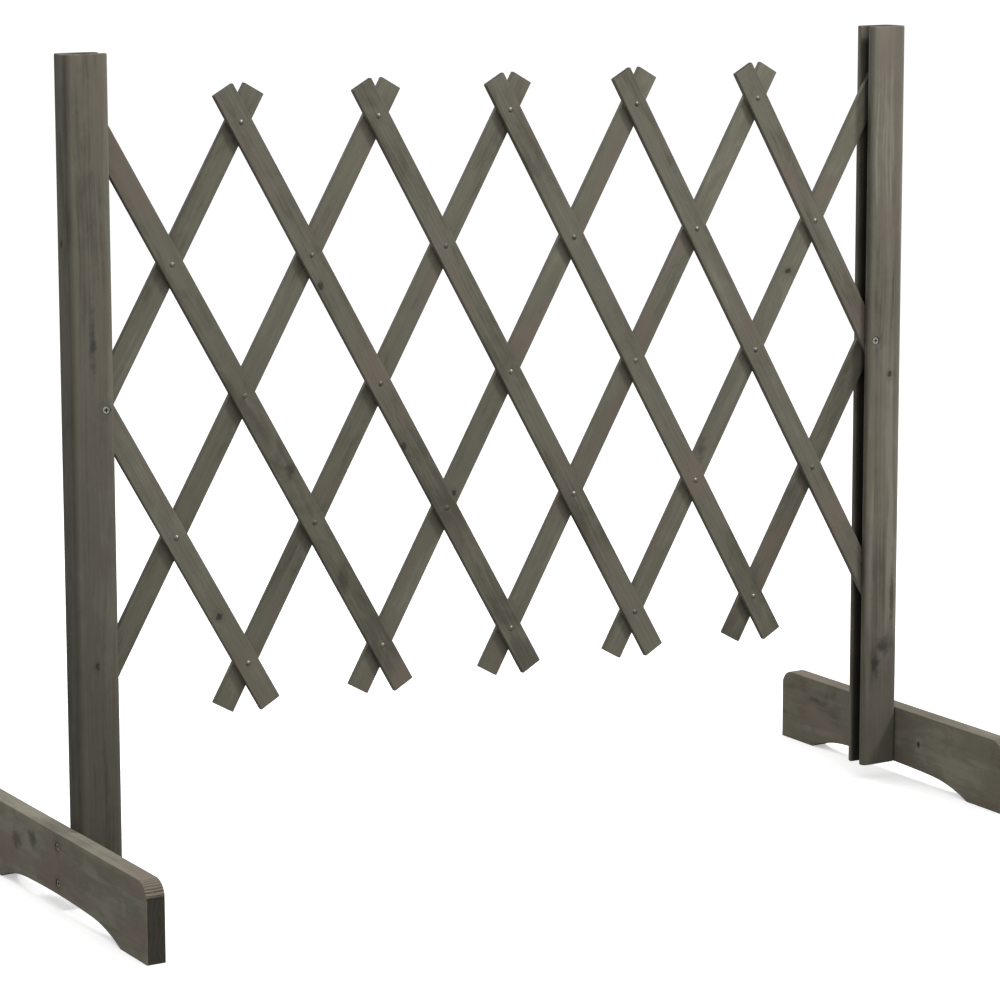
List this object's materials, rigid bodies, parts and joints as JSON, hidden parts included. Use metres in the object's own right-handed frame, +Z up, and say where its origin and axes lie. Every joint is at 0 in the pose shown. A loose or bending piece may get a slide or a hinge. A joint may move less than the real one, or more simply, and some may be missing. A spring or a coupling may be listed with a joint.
{
  "type": "expanding trellis fence",
  "caption": "Free-standing expanding trellis fence: a scissor lattice of pinned wooden laths that slides in grooved posts on arched feet.",
  "frame": {"origin": "on the ground, under the middle of the panel", "axes": "+X along the panel to the right post, +Y to the back, +Z up"},
  "size_m": [1.1078, 0.436, 0.9],
  "materials": {
    "post_wood": "grey stained, matt",
    "foot_wood": "grey stained, matt",
    "front_lath_wood": "grey stained, matt",
    "rear_lath_wood": "grey stained, matt",
    "pin_steel": "dull zinc",
    "screw_steel": "dull zinc"
  },
  "bodies": {
    "left_stand": {"left_post": "post_wood", "left_foot": "foot_wood", "left_pivot_screw": "screw_steel", "left_foot_screws": "screw_steel"},
    "right_stand": {"right_post": "post_wood", "right_foot": "foot_wood", "right_pivot_screw": "screw_steel", "right_foot_screws": "screw_steel"},
    "front_lath_1": {"front_lath_1": "front_lath_wood", "lattice_pins_1": "pin_steel"},
    "rear_lath_1": {"rear_lath_1": "rear_lath_wood"},
    "front_lath_2": {"front_lath_2": "front_lath_wood", "lattice_pins_2": "pin_steel"},
    "rear_lath_2": {"rear_lath_2": "rear_lath_wood"},
    "front_lath_3": {"front_lath_3": "front_lath_wood", "lattice_pins_3": "pin_steel"},
    "rear_lath_3": {"rear_lath_3": "rear_lath_wood"},
    "front_lath_4": {"front_lath_4": "front_lath_wood", "lattice_pins_4": "pin_steel"},
    "rear_lath_4": {"rear_lath_4": "rear_lath_wood"},
    "front_lath_5": {"front_lath_5": "front_lath_wood", "lattice_pins_5": "pin_steel"},
    "rear_lath_5": {"rear_lath_5": "rear_lath_wood"},
    "front_lath_6": {"front_lath_6": "front_lath_wood", "lattice_pins_6": "pin_steel"},
    "rear_lath_6": {"rear_lath_6": "rear_lath_wood"},
    "front_lath_7": {"front_lath_7": "front_lath_wood", "lattice_pins_7": "pin_steel"},
    "rear_lath_7": {"rear_lath_7": "rear_lath_wood"}
  },
  "joints": [
    {"name": "panel_fold", "type": "hinge", "parent": "left_stand", "child": "rear_lath_1", "pos_m": [-0.49493, 0, 0.532], "axis": [0, 1, 0], "range_deg": [-24.6, 3.1]},
    {"name": "front_lath_1_pivot", "type": "hinge", "parent": "left_stand", "child": "front_lath_1", "pos_m": [-0.49493, 0, 0.532], "axis": [0, 1, 0], "range_deg": [-3.1, 24.6]},
    {"name": "front_lath_2_pivot", "type": "hinge", "parent": "rear_lath_1", "child": "front_lath_2", "pos_m": [-0.41244, 0, 0.67721], "axis": [0, 1, 0], "range_deg": [-6.2, 49.2]},
    {"name": "front_lath_3_pivot", "type": "hinge", "parent": "rear_lath_1", "child": "front_lath_3", "pos_m": [-0.32995, 0, 0.82241], "axis": [0, 1, 0], "range_deg": [-6.2, 49.2]},
    {"name": "rear_lath_2_pivot", "type": "hinge", "parent": "front_lath_3", "child": "rear_lath_2", "pos_m": [-0.24746, 0, 0.67721], "axis": [0, 1, 0], "range_deg": [-49.2, 6.2]},
    {"name": "rear_lath_3_pivot", "type": "hinge", "parent": "front_lath_3", "child": "rear_lath_3", "pos_m": [-0.16498, 0, 0.532], "axis": [0, 1, 0], "range_deg": [-49.2, 6.2]},
    {"name": "rear_lath_4_pivot", "type": "hinge", "parent": "front_lath_3", "child": "rear_lath_4", "pos_m": [-0.08249, 0, 0.38679], "axis": [0, 1, 0], "range_deg": [-49.2, 6.2]},
    {"name": "rear_lath_5_pivot", "type": "hinge", "parent": "front_lath_3", "child": "rear_lath_5", "pos_m": [0, 0, 0.24159], "axis": [0, 1, 0], "range_deg": [-49.2, 6.2]},
    {"name": "front_lath_4_pivot", "type": "hinge", "parent": "rear_lath_5", "child": "front_lath_4", "pos_m": [0.08249, 0, 0.38679], "axis": [0, 1, 0], "range_deg": [-6.2, 49.2]},
    {"name": "front_lath_5_pivot", "type": "hinge", "parent": "rear_lath_5", "child": "front_lath_5", "pos_m": [0.16498, 0, 0.532], "axis": [0, 1, 0], "range_deg": [-6.2, 49.2]},
    {"name": "front_lath_6_pivot", "type": "hinge", "parent": "rear_lath_5", "child": "front_lath_6", "pos_m": [0.24746, 0, 0.67721], "axis": [0, 1, 0], "range_deg": [-6.2, 49.2]},
    {"name": "front_lath_7_pivot", "type": "hinge", "parent": "rear_lath_5", "child": "front_lath_7", "pos_m": [0.32995, 0, 0.82241], "axis": [0, 1, 0], "range_deg": [-6.2, 49.2]},
    {"name": "rear_lath_6_pivot", "type": "hinge", "parent": "front_lath_7", "child": "rear_lath_6", "pos_m": [0.41244, 0, 0.67721], "axis": [0, 1, 0], "range_deg": [-49.2, 6.2]},
    {"name": "right_stand_pivot", "type": "hinge", "parent": "front_lath_7", "child": "right_stand", "pos_m": [0.49493, 0, 0.532], "axis": [0, 1, 0], "range_deg": [-24.6, 3.1]},
    {"name": "rear_lath_7_pivot", "type": "hinge", "parent": "right_stand", "child": "rear_lath_7", "pos_m": [0.49493, 0, 0.532], "axis": [0, 1, 0], "range_deg": [-24.6, 3.1]}
  ],
  "couplings": [
    {"joint": "front_lath_1_pivot", "follows": "panel_fold", "ratio": -1},
    {"joint": "front_lath_2_pivot", "follows": "panel_fold", "ratio": -2},
    {"joint": "front_lath_3_pivot", "follows": "panel_fold", "ratio": -2},
    {"joint": "rear_lath_2_pivot", "follows": "panel_fold", "ratio": 2},
    {"joint": "rear_lath_3_pivot", "follows": "panel_fold", "ratio": 2},
    {"joint": "rear_lath_4_pivot", "follows": "panel_fold", "ratio": 2},
    {"joint": "rear_lath_5_pivot", "follows": "panel_fold", "ratio": 2},
    {"joint": "front_lath_4_pivot", "follows": "panel_fold", "ratio": -2},
    {"joint": "front_lath_5_pivot", "follows": "panel_fold", "ratio": -2},
    {"joint": "front_lath_6_pivot", "follows": "panel_fold", "ratio": -2},
    {"joint": "front_lath_7_pivot", "follows": "panel_fold", "ratio": -2},
    {"joint": "rear_lath_6_pivot", "follows": "panel_fold", "ratio": 2},
    {"joint": "right_stand_pivot", "follows": "panel_fold", "ratio": 1},
    {"joint": "rear_lath_7_pivot", "follows": "panel_fold", "ratio": 1}
  ]
}
